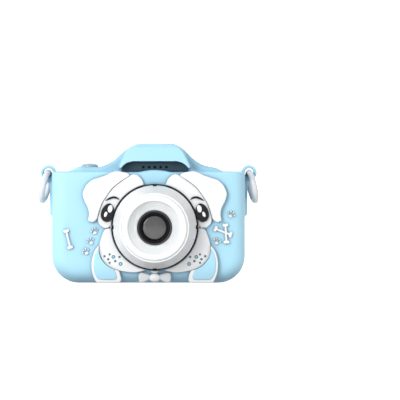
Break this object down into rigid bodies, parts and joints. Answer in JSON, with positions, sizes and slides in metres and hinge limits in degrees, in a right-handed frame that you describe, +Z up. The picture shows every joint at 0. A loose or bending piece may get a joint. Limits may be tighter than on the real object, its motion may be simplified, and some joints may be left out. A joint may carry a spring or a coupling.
{
  "type": "kids digital camera",
  "caption": "Child's compact digital camera in a soft silicone case with a raised puppy face, a screen and keys on the back, and a swinging carry ring each side.",
  "frame": {"origin": "under the middle of the camera, on the surface it stands on", "axes": "+X to the right seen from the front, along the longest side; +Y from the lens to the screen; +Z up"},
  "size_m": [0.1074, 0.046, 0.0676],
  "materials": {
    "silicone": "soft matt moulded silicone, light sky blue",
    "relief_white": "white moulded silicone relief",
    "relief_grey": "pearly grey-white relief",
    "relief_black": "black moulded relief, slightly glossy",
    "lens_white": "glossy white moulded plastic",
    "lens_pearl": "pearl grey plastic with fine turned rings",
    "lens_black": "black moulded plastic",
    "lens_glass": "coated lens glass",
    "shell": "moulded plastic housing, light blue",
    "grille": "dark smoky moulded plastic",
    "key_white": "white moulded keys",
    "button_silver": "pearly silver button",
    "ring_white": "pearly white moulded ring",
    "screen": "dark printed screen window",
    "lcd": "display panel",
    "foam": "foam gasket",
    "board": "green circuit board",
    "flex": "amber ribbon cable",
    "component_black": "black component body",
    "component_metal": "bright stamped metal",
    "battery_foil": "silver pouch foil",
    "screw_steel": "zinc plated steel"
  },
  "bodies": {
    "camera": {"battery": "battery_foil", "bone_crossed": "relief_white", "bone_single": "relief_white", "bow_tie": "relief_grey", "brow_left": "relief_black", "brow_right": "relief_black", "camera_flex": "flex", "camera_module": "component_black", "card_socket": "component_metal", "chin_nub": "relief_white", "dome_sheet": "component_metal", "ear_left": "relief_white", "ear_right": "relief_white", "eye_left": "relief_black", "eye_right": "relief_black", "face_left": "relief_white", "face_right": "relief_white", "front_housing": "shell", "lcd_panel": "lcd", "leg_left": "relief_white", "leg_right": "relief_white", "lens_barrel": "lens_white", "lens_black_ring": "lens_black", "lens_cone": "lens_pearl", "lens_face_ring": "lens_white", "lens_glass": "lens_glass", "lens_trim_ring": "lens_black", "main_board": "board", "microphone": "component_metal", "paw_1": "relief_white", "paw_2": "relief_white", "paw_3": "relief_white", "paw_4": "relief_white", "paw_5": "relief_white", "rear_housing": "shell", "screen_gasket": "foam", "screen_window": "screen", "screw_1": "screw_steel", "screw_2": "screw_steel", "screw_3": "screw_steel", "screw_4": "screw_steel", "selfie_lens": "lens_glass", "selfie_module": "component_black", "shutter_switch": "component_metal", "silicone_case": "silicone", "speaker": "component_black", "speaker_grille": "grille", "usb_port": "component_metal"},
    "shutter": {"shutter_button": "button_silver"},
    "key_ok_body": {"key_ok": "key_white"},
    "key_up_body": {"key_up": "key_white"},
    "key_down_body": {"key_down": "key_white"},
    "key_left_body": {"key_left": "key_white"},
    "key_right_body": {"key_right": "key_white"},
    "key_menu_body": {"key_menu": "key_white"},
    "key_power_body": {"key_power": "key_white"},
    "ring_left_body": {"ring_left": "ring_white"},
    "ring_right_body": {"ring_right": "ring_white"},
    "flap": {"port_flap": "silicone"},
    "card": {"memory_card": "component_black"}
  },
  "joints": [
    {"name": "shutter_press", "type": "slide", "parent": "camera", "child": "shutter", "axis": [0, 0, -1], "range_m": [0, 0.001], "stiffness_N_per_m": 400, "springref_m": -0.0005},
    {"name": "key_ok_press", "type": "slide", "parent": "camera", "child": "key_ok_body", "axis": [0, -1, 0], "range_m": [0, 0.0006], "stiffness_N_per_m": 400, "springref_m": -0.0005},
    {"name": "key_up_press", "type": "slide", "parent": "camera", "child": "key_up_body", "axis": [0, -1, 0], "range_m": [0, 0.0006], "stiffness_N_per_m": 400, "springref_m": -0.0005},
    {"name": "key_down_press", "type": "slide", "parent": "camera", "child": "key_down_body", "axis": [0, -1, 0], "range_m": [0, 0.0006], "stiffness_N_per_m": 400, "springref_m": -0.0005},
    {"name": "key_left_press", "type": "slide", "parent": "camera", "child": "key_left_body", "axis": [0, -1, 0], "range_m": [0, 0.0006], "stiffness_N_per_m": 400, "springref_m": -0.0005},
    {"name": "key_right_press", "type": "slide", "parent": "camera", "child": "key_right_body", "axis": [0, -1, 0], "range_m": [0, 0.0006], "stiffness_N_per_m": 400, "springref_m": -0.0005},
    {"name": "key_menu_press", "type": "slide", "parent": "camera", "child": "key_menu_body", "axis": [0, -1, 0], "range_m": [0, 0.0006], "stiffness_N_per_m": 400, "springref_m": -0.0005},
    {"name": "key_power_press", "type": "slide", "parent": "camera", "child": "key_power_body", "axis": [0, -1, 0], "range_m": [0, 0.0006], "stiffness_N_per_m": 400, "springref_m": -0.0005},
    {"name": "ring_left_swing", "type": "hinge", "parent": "camera", "child": "ring_left_body", "pos_m": [-0.0491, 0.0075, 0.0535], "axis": [0, 1, 0], "range_deg": [0, 165]},
    {"name": "ring_right_swing", "type": "hinge", "parent": "camera", "child": "ring_right_body", "pos_m": [0.0491, 0.0075, 0.0535], "axis": [0, -1, 0], "range_deg": [0, 165]},
    {"name": "flap_swing", "type": "hinge", "parent": "camera", "child": "flap", "pos_m": [0.047, 0.009, 0.02125], "axis": [0, 0, -1], "range_deg": [0, 150]},
    {"name": "card_push", "type": "slide", "parent": "camera", "child": "card", "axis": [-1, 0, 0], "range_m": [0, 0.0008], "stiffness_N_per_m": 300, "springref_m": -0.0005}
  ]
}
